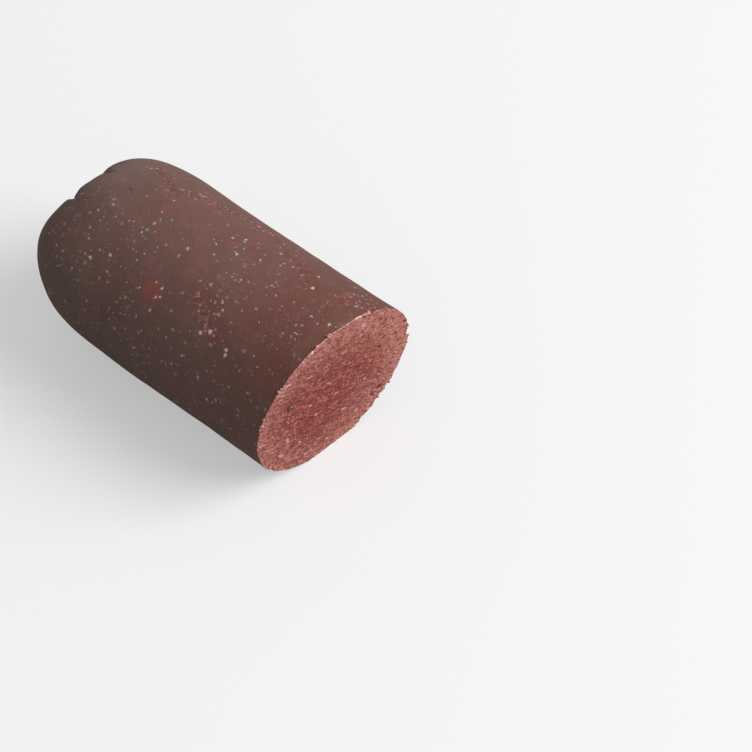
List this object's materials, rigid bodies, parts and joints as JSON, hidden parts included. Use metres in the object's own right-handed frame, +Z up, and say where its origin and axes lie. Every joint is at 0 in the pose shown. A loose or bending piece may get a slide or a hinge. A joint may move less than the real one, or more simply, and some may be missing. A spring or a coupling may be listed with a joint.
{
  "type": "cured sausage",
  "caption": "Thick log of cured sausage lying on its side, with a brown smoked rind, a gathered domed end and a plain slanting cut at the other end.",
  "frame": {"origin": "middle of the base of the lying log's box, on the strip of the underside that is pressed flat where it rests", "axes": "+X along the log towards the cut face, with the gathered end towards -X; +Z up; +Y across the log, where the cut face leans furthest forward"},
  "size_m": [0.106, 0.0606, 0.0593],
  "materials": {
    "rind": "matte",
    "cut_meat": "satin",
    "fat": "satin",
    "peppercorn": "matte"
  },
  "bodies": {
    "root": {"sausage": "rind"}
  },
  "joints": []
}
